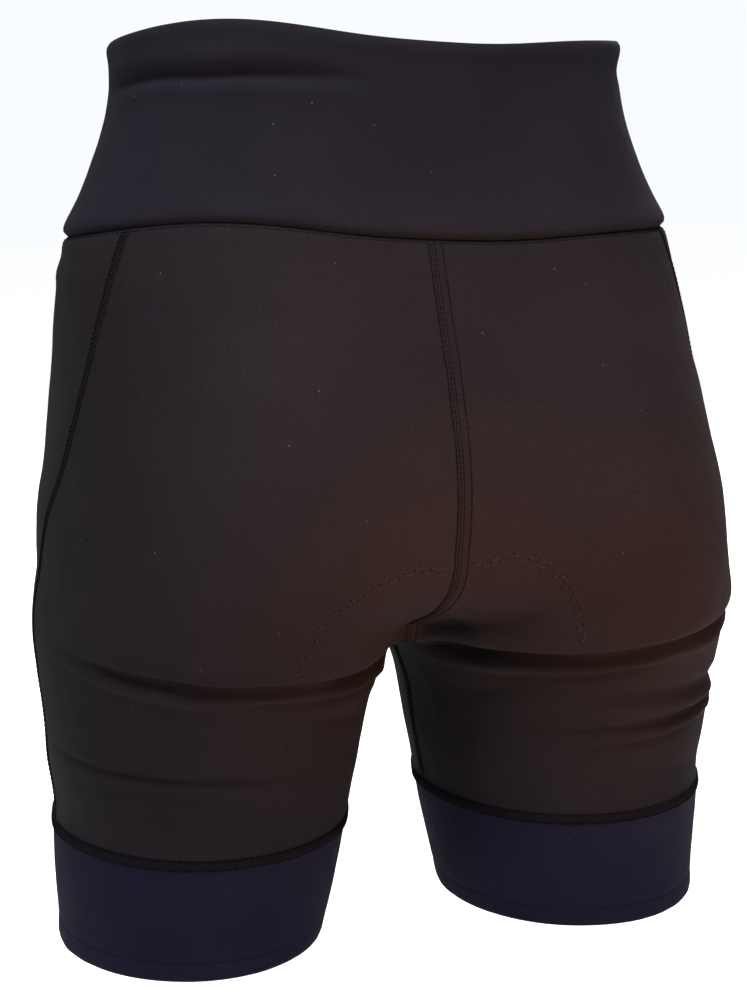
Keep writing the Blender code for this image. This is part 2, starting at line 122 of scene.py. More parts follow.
creases = {
    # side, angles and heights at start, middle and end, half width, rise
    "lines": (
        (1, (15, 84, 150), (-0.2745, -0.2880, -0.2915), 0.0100, 0.0032),
        (1, (20, 96, 176), (-0.2845, -0.2995, -0.3020), 0.0034, -0.0052),
        (1, (15, 92, 165), (-0.2895, -0.3050, -0.3085), 0.0028, 0.0024),
        (1, (104, 142, 172), (-0.3000, -0.3011, -0.3019), 0.0030, -0.0044),
        (1, (55, 104, 165), (-0.2950, -0.3088, -0.3125), 0.0024, -0.0026),
        (1, (5, 62, 120), (-0.3370, -0.3400, -0.3420), 0.0055, 0.0012),
        (1, (5, 60, 115), (-0.3435, -0.3465, -0.3485), 0.0026, -0.0024),
        (1, (10, 60, 110), (-0.3490, -0.3520, -0.3540), 0.0045, 0.0012),
        (1, (25, 75, 115), (-0.3720, -0.3730, -0.3710), 0.0050, -0.0010),
        (-1, (28, 95, 165), (-0.2745, -0.2870, -0.2900), 0.0100, 0.0034),
        (-1, (16, 95, 176), (-0.2820, -0.2985, -0.3020), 0.0034, -0.0056),
        (-1, (24, 95, 160), (-0.2895, -0.3045, -0.3080), 0.0030, 0.0022),
        (-1, (96, 138, 172), (-0.2988, -0.3004, -0.3018), 0.0032, -0.0040),
        (-1, (126, 148, 166), (-0.2800, -0.2860, -0.2930), 0.0050, -0.0030),
        (-1, (60, 105, 150), (-0.2970, -0.3100, -0.3130), 0.0026, -0.0018),
        (-1, (14, 66, 112), (-0.3325, -0.3255, -0.3220), 0.0028, -0.0032),
        (-1, (20, 68, 112), (-0.3380, -0.3320, -0.3285), 0.0040, 0.0018),
        (-1, (18, 85, 132), (-0.3342, -0.3410, -0.3425), 0.0026, -0.0034),
        (-1, (15, 85, 125), (-0.3385, -0.3460, -0.3475), 0.0028, 0.0016),
        (-1, (45, 88, 122), (-0.3440, -0.3500, -0.3512), 0.0022, -0.0018),
        (-1, (30, 80, 120), (-0.3740, -0.3710, -0.3730), 0.0050, -0.0010),
        (1, (-150, -105, -40), (-0.296, -0.279, -0.262), 0.0055, -0.0022),
        (1, (-145, -100, -35), (-0.306, -0.289, -0.271), 0.0060, 0.0014),
        (-1, (-150, -105, -40), (-0.297, -0.282, -0.264), 0.0055, -0.0020),
        (-1, (-145, -100, -35), (-0.307, -0.292, -0.274), 0.0060, 0.0014),
        (1, (-120, -70, -20), (-0.344, -0.341, -0.346), 0.0055, -0.0014),
        (-1, (-125, -75, -15), (-0.347, -0.344, -0.340), 0.0055, -0.0014),
        (1, (-32, -4, 22), (-0.104, -0.105, -0.1055), 0.0035, -0.0010),
        (1, (-32, -5, 20), (-0.113, -0.114, -0.1150), 0.0045, 0.0008),
        (-1, (-30, -3, 22), (-0.102, -0.103, -0.1045), 0.0035, -0.0009),
        (1, (-22, 44, 112), (-0.0265, -0.0185, -0.0250), 0.0034, -0.0036),
        (1, (-25, 44, 112), (-0.0330, -0.0255, -0.0320), 0.0060, 0.0010),
        (1, (-25, 44, 112), (-0.0170, -0.0095, -0.0160), 0.0065, 0.0014),
        (-1, (-40, 10, 60), (-0.020, -0.018, -0.022), 0.0050, -0.0010),
        # finer ones, beside the seams and on the inner thighs
        (-1, (20, 50, 85), (-0.3300, -0.3225, -0.3195), 0.0024, -0.0010),
        (1, (20, 52, 86), (-0.3575, -0.3560, -0.3555), 0.0024, -0.0008),
        (1, (100, 116, 140), (-0.3180, -0.3230, -0.3300), 0.0040, -0.0014),
        (-1, (104, 122, 145), (-0.3160, -0.3190, -0.3260), 0.0040, -0.0012),
        (1, (33, 42, 54), (-0.1010, -0.1060, -0.1130), 0.0028, -0.0006),
        (1, (34, 46, 60), (-0.1200, -0.1240, -0.1300), 0.0040, -0.0005),
        (-1, (33, 44, 58), (-0.1040, -0.1080, -0.1130), 0.0028, -0.0006),
    ),
    "cuffRidge": 0.0009,
}


def tableValue(table, column, height):
    rows = np.array(sorted(table))
    at = np.clip(height, rows[0, 0], rows[-1, 0])
    value = rows[:, column]
    slope = np.gradient(value, rows[:, 0])
    first = np.clip(np.searchsorted(rows[:, 0], at) - 1, 0, len(rows) - 2)
    step = rows[first + 1, 0] - rows[first, 0]
    t = (at - rows[first, 0]) / step
    ease = t * t * (3 - 2 * t)
    smooth = value[first] * (1 - ease) + value[first + 1] * ease
    return smooth + step * slope[first] * t * (1 - t) ** 2 - step * slope[first + 1] * t * t * (1 - t)


def ovalDistance(across, alongY, halfWidth, halfDepth, power):
    x = np.abs(across) + 1e-9
    y = np.abs(alongY) + 1e-9
    size = ((x / halfWidth) ** power + (y / halfDepth) ** power) ** (1 / power)
    slopeX = size ** (1 - power) * x ** (power - 1) / halfWidth**power
    slopeY = size ** (1 - power) * y ** (power - 1) / halfDepth**power
    return (size - 1) / np.hypot(slopeX, slopeY)


def roundedMin(first, second, radius):
    near = np.maximum(radius - np.abs(first - second), 0) / radius
    return np.minimum(first, second) - near * near * radius / 4


def formDistance(points):
    x, y, z = points[..., 0], points[..., 1], points[..., 2]
    depth = np.where(y < 0, tableValue(form["hips"], 2, z), tableValue(form["hips"], 3, z))
    hips = ovalDistance(x, y, tableValue(form["hips"], 1, z), depth, form["hipsSquareness"])
    hips = np.maximum(hips, form["hipsBottom"] - z)
    centreX, centreY = tableValue(form["leg"], 1, z), tableValue(form["leg"], 2, z)
    halfWidth, halfDepth = tableValue(form["leg"], 3, z), tableValue(form["leg"], 4, z)
    left = ovalDistance(x - centreX, y - centreY, halfWidth, halfDepth, 2)
    right = ovalDistance(x + centreX, y - centreY, halfWidth, halfDepth, 2)
    return roundedMin(hips, roundedMin(left, right, form["legBlend"]), form["hipBlend"])


def formNormals(points):
    slope = np.empty_like(points)
    for axis in range(3):
        move = np.zeros(3)
        move[axis] = 0.0004
        slope[..., axis] = formDistance(points + move) - formDistance(points - move)
    return slope / np.linalg.norm(slope, axis=-1, keepdims=True)


def findCrotch():
    y, z = np.meshgrid(np.linspace(-0.06, 0.08, 141), np.linspace(-0.26, -0.36, 401))
    inside = formDistance(np.stack([y * 0, y, z], -1)) < 0
    row = np.nonzero(inside.any(1))[0].max()
    return y[row][inside[row]].mean(), z[row, 0]


crotchY, crotchZ = findCrotch()
print("crotch at", round(crotchY, 4), round(crotchZ, 4))


def halvedTo(low, high, place):
    for _ in range(40):  # narrows in on where the form ends
        half = (low + high) / 2
        within = formDistance(place(half)) < 0
        low, high = np.where(within, half, low), np.where(within, high, half)
    return low


def legCentre(height):
    x = tableValue(form["leg"], 1, height)
    hemY = tableValue(form["leg"], 2, np.array(form["hem"]))
    y = np.interp(height, (form["hem"], crotchZ), (hemY, crotchY))
    return np.stack([x, y + x * 0, height + x * 0], -1)


def halfRows(heights, sign, steps=240):  # level lines, inner edge to side seam
    heights = np.asarray(heights, float)
    edge = halvedTo(heights * 0 + crotchY, heights * 0 + 0.3 * sign,
                    lambda y: np.stack([y * 0, y, heights], -1))
    centre = legCentre(heights)
    inner = np.where(heights > crotchZ, np.arctan2(edge - centre[:, 1], -centre[:, 0]), math.pi * sign)
    seam = np.radians(tableValue(form["sideSeam"], 1, heights))
    share = np.linspace(0, 1, steps)
    angle = inner[:, None] * (1 - share) + seam[:, None] * share
    way = np.stack([np.cos(angle), np.sin(angle), angle * 0], -1)
    toMiddle = -centre[:, None, 0] / np.minimum(way[..., 0], -1e-6)
    high = np.where(way[..., 0] < -1e-6, np.minimum(toMiddle, 0.3), 0.3)
    far = halvedTo(high * 0, high, lambda r: centre[:, None] + way * r[..., None])
    return centre[:, None] + way * far[..., None]


def onLine(line, at):
    run = np.concatenate([[0], np.cumsum(np.linalg.norm(np.diff(line, axis=0), axis=1))])
    return np.stack([np.interp(at, run, line[:, axis]) for axis in range(3)], -1)


def lineLength(line):
    return np.linalg.norm(np.diff(line, axis=0), axis=1).sum()


def panelGrid(heights, sign, padColumns, sideColumns, gap):
    grid = []
    padEdges = tableValue(form["padLine"], 1 if sign > 0 else 2, np.asarray(heights))
    for line, padEdge in zip(halfRows(heights, sign), padEdges):
        toPad = np.linspace(gap * 0.6, padEdge, padColumns + 1)
        toSide = np.linspace(padEdge, lineLength(line) - gap / 2, sideColumns + 1)[1:]
        grid.append(onLine(line, np.concatenate([toPad, toSide])))
    grid = np.array(grid)
    return grid if sign > 0 else grid[:, ::-1]  # columns run clockwise from above


def uneven(points, size, seed):  # soft, even-handed unevenness from a few crossing waves
    rng = np.random.default_rng(seed)
    total = points[..., 0] * 0
    for _ in range(7):
        way = rng.normal(size=3)
        way *= 2 * math.pi / (size * rng.uniform(0.7, 1.6) * np.linalg.norm(way))
        total = total + np.sin(points @ way + rng.uniform(0, 6.28))
    return total / 3.5


def creaseRise(points):
    x, y, z = points[..., 0], points[..., 1], points[..., 2]
    centre = legCentre(z)
    angle = np.degrees(np.arctan2(y - centre[..., 1], np.abs(x) - centre[..., 0]))
    offMiddle = np.clip(np.abs(x) / 0.012, 0, 1) ** 2
    drift = uneven(points, 0.060, 5)
    strength = 1 + 0.22 * uneven(points, 0.035, 8)
    rise = angle * 0
    for side, angles, heights, width, lift in creases["lines"]:
        line = np.polyval(np.polyfit(angles, heights, 2), angle) + drift * min(0.0008, width * 0.15)
        first, last = min(angles), max(angles)
        ends = np.clip(np.minimum(angle - first, last - angle) / (0.34 * (last - first)), 0, 1)
        off = (z - line) / width
        across = np.exp(-off * off)
        rise += lift * strength * across * ends * ends * (3 - 2 * ends) * offMiddle * (x * side > 0)
    rise += 0.00022 * uneven(points, 0.045, 2) + 0.00010 * uneven(points, 0.014, 3)
    return rise + creases["cuffRidge"] * np.exp(-(((z - form["cuffSeam"]) / 0.003) ** 2))


def settled(grid):
    angle = np.degrees(np.arctan2(grid[..., 1], grid[..., 0]))
    moved = grid.copy()
    for centre, spread, lift, top, bottom in form["waves"]:
        fade = np.clip((grid[..., 2] - bottom) / (top - bottom), 0, 1)
        apart = (angle - centre + 180) % 360 - 180
        moved[..., 2] += lift * np.exp(-((apart / spread) ** 2)) * fade * fade * (3 - 2 * fade)
    for _ in range(4):
        level = formNormals(moved)[..., :2]
        level /= np.linalg.norm(level, axis=-1, keepdims=True) + 1e-3
        moved[..., :2] -= level * formDistance(moved)[..., None]
    return moved


def mirrored(grid):
    return (grid * (-1, 1, 1))[:, ::-1]


# ---- materials ----

def newGroup(name, inputs, outputs):
    group = bpy.data.node_groups.new(name, "ShaderNodeTree")
    for title, kind, value in inputs:
        socket = group.interface.new_socket(title, in_out="INPUT", socket_type=kind)
        if value is not None:
            socket.default_value = value
    for title, kind in outputs:
        group.interface.new_socket(title, in_out="OUTPUT", socket_type=kind)
    start = group.nodes.new("NodeGroupInput")
    end = group.nodes.new("NodeGroupOutput")
    return group, start, end


def mathNode(tree, operation, first, second=None, third=None):
    node = tree.nodes.new("ShaderNodeMath")
    node.operation = operation
    for index, value in enumerate((first, second, third)):
        if value is None:
            continue
        if isinstance(value, (int, float)):
            node.inputs[index].default_value = value
        else:
            tree.links.new(value, node.inputs[index])
    return node.outputs[0]


def mixColour(tree, factor, first, second):
    node = tree.nodes.new("ShaderNodeMix")
    node.data_type = "RGBA"
    for socket, value in ((node.inputs["Factor"], factor), (node.inputs[6], first), (node.inputs[7], second)):
        if isinstance(value, bpy.types.NodeSocket):
            tree.links.new(value, socket)
        else:
            socket.default_value = value
    return node.outputs[2]


def knitLoopsGroup():  # rows of knitted loops, laid along the cloth's own coordinates
    group, start, end = newGroup(
        "knitLoops",
        [("Cloth", "NodeSocketVector", None), ("Wale Spacing", "NodeSocketFloat", 0.0006),
         ("Course Spacing", "NodeSocketFloat", 0.0005), ("Slant", "NodeSocketFloat", 0.3),
         ("Unevenness", "NodeSocketFloat", 0.25)],
        [("Height", "NodeSocketFloat"), ("Shade", "NodeSocketFloat")],
    )
    split = group.nodes.new("ShaderNodeSeparateXYZ")
    group.links.new(start.outputs["Cloth"], split.inputs[0])
    wobble = group.nodes.new("ShaderNodeTexNoise")
    wobble.inputs["Scale"].default_value = 260.0
    wobble.inputs["Detail"].default_value = 2.0
    group.links.new(start.outputs["Cloth"], wobble.inputs["Vector"])
    slanted = mathNode(group, "MULTIPLY_ADD", split.outputs[1], start.outputs["Slant"], split.outputs[0])
    wale = mathNode(group, "DIVIDE", slanted, start.outputs["Wale Spacing"])
    course = mathNode(group, "DIVIDE", split.outputs[1], start.outputs["Course Spacing"])
    drift = mathNode(group, "MULTIPLY", wobble.outputs["Fac"], start.outputs["Unevenness"])
    waleWave = mathNode(group, "SINE", mathNode(group, "MULTIPLY", mathNode(group, "ADD", wale, drift), 6.2832))
    courseWave = mathNode(group, "SINE", mathNode(group, "MULTIPLY", course, 6.2832))
    loops = mathNode(group, "MULTIPLY", mathNode(group, "MULTIPLY_ADD", waleWave, 0.5, 0.5),
                     mathNode(group, "MULTIPLY_ADD", courseWave, 0.3, 0.7))
    worn = mathNode(group, "MULTIPLY_ADD", wobble.outputs["Fac"], 0.35, loops)
    group.links.new(worn, end.inputs["Height"])
    group.links.new(mathNode(group, "MULTIPLY_ADD", loops, 0.5, 0.25), end.inputs["Shade"])
    return group


def clothToneGroup():  # slow drift of tone over a piece, lighter where the knit is stretched
    group, start, end = newGroup(
        "clothTone",
        [("Place", "NodeSocketVector", None), ("Base Color", "NodeSocketColor", (0.02, 0.02, 0.02, 1)),
         ("Stretched Color", "NodeSocketColor", (0.04, 0.03, 0.03, 1)),
         ("Loop Shade", "NodeSocketFloat", 0.5), ("Loop Contrast", "NodeSocketFloat", 0.5),
         ("Patch Size", "NodeSocketFloat", 14.0), ("Grain Scale", "NodeSocketFloat", 800.0)],
        [("Color", "NodeSocketColor"), ("Patch", "NodeSocketFloat")],
    )
    patches = group.nodes.new("ShaderNodeTexNoise")
    patches.inputs["Detail"].default_value = 5.0
    patches.inputs["Roughness"].default_value = 0.55
    group.links.new(start.outputs["Place"], patches.inputs["Vector"])
    group.links.new(start.outputs["Patch Size"], patches.inputs["Scale"])
    spread = group.nodes.new("ShaderNodeMapRange")
    spread.inputs["From Min"].default_value = 0.32
    spread.inputs["From Max"].default_value = 0.68
    group.links.new(patches.outputs["Fac"], spread.inputs["Value"])
    tone = mixColour(group, spread.outputs["Result"], start.outputs["Base Color"], start.outputs["Stretched Color"])
    grain = group.nodes.new("ShaderNodeTexNoise")
    grain.inputs["Detail"].default_value = 3.0
    grain.inputs["Roughness"].default_value = 0.7
    group.links.new(start.outputs["Place"], grain.inputs["Vector"])
    group.links.new(start.outputs["Grain Scale"], grain.inputs["Scale"])
    fine = group.nodes.new("ShaderNodeMapRange")
    fine.inputs["From Min"].default_value = 0.36
    fine.inputs["From Max"].default_value = 0.64
    group.links.new(grain.outputs["Fac"], fine.inputs["Value"])
    shade = mathNode(group, "MULTIPLY", start.outputs["Loop Shade"],
                     mathNode(group, "MULTIPLY_ADD", fine.outputs["Result"], 0.7, 0.5))
    dark = mixColour(group, mathNode(group, "MULTIPLY", start.outputs["Loop Contrast"],
                                     mathNode(group, "SUBTRACT", 1.0, shade)),
                     tone, (0.002, 0.0018, 0.0022, 1))
    group.links.new(dark, end.inputs["Color"])
    group.links.new(spread.outputs["Result"], end.inputs["Patch"])
    return group


def lintGroup():  # small pale specks of fluff, few and far between
    group, start, end = newGroup(
        "lintSpecks",
        [("Place", "NodeSocketVector", None), ("Color", "NodeSocketColor", (0.02, 0.02, 0.02, 1)),
         ("Lint Color", "NodeSocketColor", (0.16, 0.15, 0.15, 1)), ("Spacing", "NodeSocketFloat", 70.0),
         ("Speck Size", "NodeSocketFloat", 0.045)],
        [("Color", "NodeSocketColor"), ("Speck", "NodeSocketFloat")],
    )
    cells = group.nodes.new("ShaderNodeTexVoronoi")
    group.links.new(start.outputs["Place"], cells.inputs["Vector"])
    group.links.new(start.outputs["Spacing"], cells.inputs["Scale"])
    near = mathNode(group, "LESS_THAN", cells.outputs["Distance"], start.outputs["Speck Size"])
    some = group.nodes.new("ShaderNodeSeparateColor")
    group.links.new(cells.outputs["Color"], some.inputs[0])
    chosen = mathNode(group, "MULTIPLY", near, mathNode(group, "GREATER_THAN", some.outputs[0], 0.80))
    group.links.new(mixColour(group, mathNode(group, "MULTIPLY", chosen, 0.4), start.outputs["Color"],
                              start.outputs["Lint Color"]), end.inputs["Color"])
    group.links.new(chosen, end.inputs["Speck"])
    return group


knitLoops = knitLoopsGroup()
clothTone = clothToneGroup()
lintSpecks = lintGroup()


def placeGroup(tree, group, values):
    node = tree.nodes.new("ShaderNodeGroup")
    node.node_tree = group
    for title, value in values.items():
        if isinstance(value, bpy.types.NodeSocket):
            tree.links.new(value, node.inputs[title])
        else:
            node.inputs[title].default_value = value
    return node


def clothMaterial(name, look):
    material = bpy.data.materials.new(name)
    material.use_nodes = True
    tree = material.node_tree
    shader = tree.nodes["Principled BSDF"]
    cloth = tree.nodes.new("ShaderNodeUVMap")
    cloth.uv_map = "cloth"
    place = tree.nodes.new("ShaderNodeTexCoord").outputs["Object"]
    loops = placeGroup(tree, knitLoops, {
        "Cloth": cloth.outputs[0], "Wale Spacing": look["wale"], "Course Spacing": look["course"],
        "Slant": look["slant"], "Unevenness": look["unevenness"]})
    tone = placeGroup(tree, clothTone, {
        "Place": place, "Base Color": (*look["base"], 1), "Stretched Color": (*look["stretched"], 1),
        "Loop Shade": loops.outputs["Shade"], "Loop Contrast": look["contrast"], "Patch Size": look["patches"]})
    lint = placeGroup(tree, lintSpecks, {
        "Place": place, "Color": tone.outputs["Color"], "Lint Color": (*look["lint"], 1),
        "Spacing": look["lintSpacing"], "Speck Size": look["lintSize"]})
    tree.links.new(lint.outputs["Color"], shader.inputs["Base Color"])
    tree.links.new(mathNode(tree, "MULTIPLY_ADD", tone.outputs["Patch"], -0.08, look["roughness"]),
                   shader.inputs["Roughness"])
    bump = tree.nodes.new("ShaderNodeBump")
    bump.inputs["Strength"].default_value = look["bump"]
    bump.inputs["Distance"].default_value = 0.0003
    tree.links.new(loops.outputs["Height"], bump.inputs["Height"])
    tree.links.new(bump.outputs[0], shader.inputs["Normal"])
    shader.inputs["Specular IOR Level"].default_value = look["specular"]
    shader.inputs["Sheen Weight"].default_value = look["sheen"]
    shader.inputs["Sheen Roughness"].default_value = 0.45
    shader.inputs["Sheen Tint"].default_value = (*look["sheenTint"], 1)
    return material


looks = {
    "bandKnit": {"base": (0.0180, 0.0162, 0.0222), "stretched": (0.0235, 0.0210, 0.0282), "contrast": 0.52,
                 "wale": 0.00050, "course": 0.00042, "slant": 0.0, "unevenness": 0.3, "patches": 9.0,
                 "lint": (0.13, 0.12, 0.14), "lintSpacing": 110.0, "lintSize": 0.060, "roughness": 0.86,
                 "bump": 0.25, "specular": 0.05, "sheen": 0.008, "sheenTint": (0.75, 0.72, 0.85)},
    "bodyKnit": {"base": (0.0196, 0.0156, 0.0180), "stretched": (0.0258, 0.0206, 0.0228), "contrast": 0.62,
                 "wale": 0.00120, "course": 0.00095, "slant": 0.60, "unevenness": 0.3, "patches": 10.0,
                 "lint": (0.13, 0.115, 0.12), "lintSpacing": 120.0, "lintSize": 0.060, "roughness": 0.84,
                 "bump": 0.30, "specular": 0.05, "sheen": 0.008, "sheenTint": (0.85, 0.75, 0.78)},
    "cuffKnit": {"base": (0.0128, 0.0118, 0.0285), "stretched": (0.0170, 0.0156, 0.0360), "contrast": 0.52,
                 "wale": 0.00060, "course": 0.00060, "slant": 0.0, "unevenness": 0.2, "patches": 12.0,
                 "lint": (0.10, 0.10, 0.16), "lintSpacing": 110.0, "lintSize": 0.050, "roughness": 0.82,
                 "bump": 0.30, "specular": 0.05, "sheen": 0.008, "sheenTint": (0.70, 0.70, 0.95)},
    "padKnit": {"base": (0.020, 0.018, 0.020), "stretched": (0.028, 0.025, 0.028), "contrast": 0.25,
                "wale": 0.0010, "course": 0.0009, "slant": 0.0, "unevenness": 0.4, "patches": 12.0,
                "lint": (0.12, 0.11, 0.11), "lintSpacing": 90.0, "lintSize": 0.050, "roughness": 0.92,
                "bump": 0.35, "specular": 0.05, "sheen": 0.02, "sheenTint": (0.80, 0.78, 0.85)},
    "seamKnit": {"base": (0.0185, 0.0144, 0.0165), "stretched": (0.0245, 0.0192, 0.0212), "contrast": 0.62,
                 "wale": 0.00090, "course": 0.00050, "slant": 0.4, "unevenness": 0.3, "patches": 30.0,
                 "lint": (0.10, 0.09, 0.09), "lintSpacing": 120.0, "lintSize": 0.040, "roughness": 0.86,
                 "bump": 0.30, "specular": 0.05, "sheen": 0.008, "sheenTint": (0.8, 0.75, 0.78)},
    "sideSeamKnit": {"base": (0.0155, 0.0118, 0.0136), "stretched": (0.0205, 0.0158, 0.0175), "contrast": 0.62,
                 "wale": 0.00090, "course": 0.00050, "slant": 0.4, "unevenness": 0.3, "patches": 30.0,
                 "lint": (0.10, 0.09, 0.09), "lintSpacing": 120.0, "lintSize": 0.040, "roughness": 0.86,
                 "bump": 0.30, "specular": 0.05, "sheen": 0.008, "sheenTint": (0.8, 0.75, 0.78)},
    "cuffSeamKnit": {"base": (0.0080, 0.0060, 0.0095), "stretched": (0.0115, 0.0088, 0.0135), "contrast": 0.45,
                     "wale": 0.00060, "course": 0.00050, "slant": 0.4, "unevenness": 0.3, "patches": 30.0,
                     "lint": (0.10, 0.09, 0.09), "lintSpacing": 120.0, "lintSize": 0.040, "roughness": 0.86,
                     "bump": 0.30, "specular": 0.05, "sheen": 0.008, "sheenTint": (0.8, 0.75, 0.78)},
}
materials = {name: clothMaterial(name, look) for name, look in looks.items()}


def threadMaterial(name, colour, shine):  # twisted sewing thread
    material = bpy.data.materials.new(name)
    material.use_nodes = True
    tree = material.node_tree
    shader = tree.nodes["Principled BSDF"]
    place = tree.nodes.new("ShaderNodeTexCoord").outputs["Object"]
    twist = tree.nodes.new("ShaderNodeTexWave")
    twist.inputs["Scale"].default_value = 900.0
    twist.inputs["Distortion"].default_value = 3.0
    tree.links.new(place, twist.inputs["Vector"])
    tone = placeGroup(tree, clothTone, {
        "Place": place, "Base Color": (*colour, 1), "Stretched Color": (*(c * 1.6 for c in colour), 1),
        "Loop Shade": twist.outputs["Fac"], "Loop Contrast": 0.4, "Patch Size": 90.0})
    tree.links.new(tone.outputs["Color"], shader.inputs["Base Color"])
    bump = tree.nodes.new("ShaderNodeBump")
    bump.inputs["Strength"].default_value = 0.3
    bump.inputs["Distance"].default_value = 0.0001
    tree.links.new(twist.outputs["Fac"], bump.inputs["Height"])
    tree.links.new(bump.outputs[0], shader.inputs["Normal"])
    shader.inputs["Roughness"].default_value = shine
    shader.inputs["Specular IOR Level"].default_value = 0.04
    return material


materials["blackThread"] = threadMaterial("blackThread", (0.0050, 0.0041, 0.0050), 0.8)
materials["padThread"] = threadMaterial("padThread", (0.0400, 0.0320, 0.0350), 0.8)
materials["navyThread"] = threadMaterial("navyThread", (0.0060, 0.0054, 0.0130), 0.8)
print("materials made")

# ---- cloth pieces ----

outerFaces = []  # points and cells of every outer face, for laying seams and stitches on


def cellFaces(rows, columns, ring, turned):
    faces = []
    for row in range(rows - 1):
        for column in range(columns if ring else columns - 1):
            a, b = row * columns + column, row * columns + (column + 1) % columns
            faces.append((a, b, b + columns, a + columns))
    return faces


def addCloth(name, outer, inner, material, ring):
    rows, columns = outer.shape[:2]
    size = rows * columns
    points = np.concatenate([outer.reshape(-1, 3), inner.reshape(-1, 3)])
    front = cellFaces(rows, columns, ring, False)
    faces = front + [tuple(corner + size for corner in face[::-1]) for face in front]
    for row, flip in ((0, False), (rows - 1, True)):
        for column in range(columns if ring else columns - 1):
            a, b = row * columns + column, row * columns + (column + 1) % columns
            face = (b, a, a + size, b + size)
            faces.append(face[::-1] if flip else face)
    for column, flip in () if ring else ((0, True), (columns - 1, False)):
        for row in range(rows - 1):
            a, b = row * columns + column, (row + 1) * columns + column
            face = (b, a, a + size, b + size)
            faces.append(face[::-1] if flip else face)
    mesh = bpy.data.meshes.new(name)
    mesh.from_pydata(points.tolist(), [], faces)
    # the cloth's own coordinates: lengths along its rows and down its columns
    across = np.concatenate([np.zeros((rows, 1)), np.cumsum(np.linalg.norm(np.diff(outer, axis=1), axis=2), axis=1)], 1)
    down = np.concatenate([np.zeros((1, columns)), np.cumsum(np.linalg.norm(np.diff(outer, axis=0), axis=2), axis=0)])
    if not ring:
        across -= across[:, columns // 2][:, None]
    down = np.broadcast_to(down.mean(axis=1)[:, None], down.shape)
    flat = np.tile(np.stack([across, down], -1).reshape(-1, 2), (2, 1))
    layer = mesh.uv_layers.new(name="cloth")
    corners = np.empty(len(mesh.loops), np.int32)
    mesh.loops.foreach_get("vertex_index", corners)
    layer.data.foreach_set("uv", flat[corners].astype(np.float32).ravel())
    mesh.polygons.foreach_set("use_smooth", np.ones(len(mesh.polygons), bool))
    mesh.materials.append(materials[material])
    mesh.validate()
    piece = bpy.data.objects.new(name, mesh)
    bpy.context.scene.collection.objects.link(piece)
    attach(piece, "root")
    outerFaces.append((outer.reshape(-1, 3), front))
    cells = outer if not ring else np.concatenate([outer, outer[:, :1]], 1)
    a, b, c = cells[:-1, :-1], cells[:-1, 1:], cells[1:, :-1]
    area = np.linalg.norm(np.cross(b - a, c - a), axis=-1).sum()
    print(name, "cells", len(front), "area", round(float(area), 4))
    return piece


def clothWall(grid, thickness, proud, extra=None):
    out = formNormals(grid)
    for row in (0, -1):
        out[row, :, 2] = 0
        out[row] /= np.linalg.norm(out[row], axis=-1, keepdims=True)
    lift = proud + creaseRise(grid)
    if extra is not None:
        lift = lift + extra
    return grid + out * lift[..., None], grid + out * (lift - thickness)[..., None]


panels = {
    "rowSteps": 150,
    "padColumns": 26,
    "sideColumns": 58,
    "wall": 0.0013,
    "gap": 0.0001,
    "padLift": 0.0010,
    "padBackTop": -0.248,
    "padFrontTop": -0.210,
    "padWingEnd": -0.332,
    "tuck": 0.0021,  # how far the cloth goes in under the band
}


def fineHeights():
    rows = np.array(form["rows"])
    rows[np.argmin(np.abs(rows - crotchZ))] = crotchZ
    share = np.linspace(0, len(rows) - 1, panels["rowSteps"])
    share = np.sort(np.append(share, rows.tolist().index(crotchZ)))
    share = share[np.concatenate([[True], np.diff(share) > 0.02])]
    heights = np.interp(share, np.arange(len(rows)), rows)
    heights[np.argmin(np.abs(heights - crotchZ))] = crotchZ
    heights[0] -= panels["gap"] / 2
    heights[-1] += panels["gap"] / 2
    return heights


def padCover(heights, sign):  # 1 over the pad's middle, 0 at its edge and beyond
    top = panels["padBackTop"] if sign > 0 else panels["padFrontTop"]
    down = np.clip(np.minimum(top - heights, heights - panels["padWingEnd"]) / 0.016, 0, 1)
    columns = panels["padColumns"] + panels["sideColumns"] + 1
    across = np.clip((panels["padColumns"] - np.arange(columns)) / 9.0, 0, 1)
    cover = np.outer(down, across)
    return cover * cover * (3 - 2 * cover)


heights = fineHeights()
baseGrids = {sign: panelGrid(heights, sign, panels["padColumns"], panels["sideColumns"], panels["gap"])
             for sign in (1, -1)}
for side, word in ((1, "left"), (-1, "right")):
    for sign, panel in ((1, "back"), (-1, "front")):
        grid = baseGrids[sign] if side > 0 else mirrored(baseGrids[sign])
        grid = settled(grid)
        cover = padCover(heights, sign)
        if (sign < 0) != (side < 0):
            cover = cover[:, ::-1]
        tuck = panels["tuck"] * np.exp(-(((heights - form["bandSeam"]) / 0.0017) ** 2))[:, None]
        outer, inner = clothWall(grid, panels["wall"], 0.0, cover * panels["padLift"] - tuck)
        for face in (outer, inner):
            face[..., 0] = side * np.maximum(side * face[..., 0], panels["gap"] / 2)
        name = panel + "Panel_" + word
        piece = addCloth(name, outer, inner, "bodyKnit", False)
        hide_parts(panel + "_" + word)
print("panels made")

band = {
    "wall": 0.0022,
    "proud": 0.0009,
    "roll": 0.0007,  # the soft roll of the fold at the top edge
    "puff": 0.0008,  # the fullness just above the seam
    "rowHeights": 84,
    "sideColumns": 84,
}


def leftHalf(heightList, padColumns, sideColumns):
    back = panelGrid(heightList, 1, padColumns, sideColumns, 0)
    front = panelGrid(heightList, -1, padColumns, sideColumns, 0)
    return np.concatenate([back, front[:, 1:]], 1)


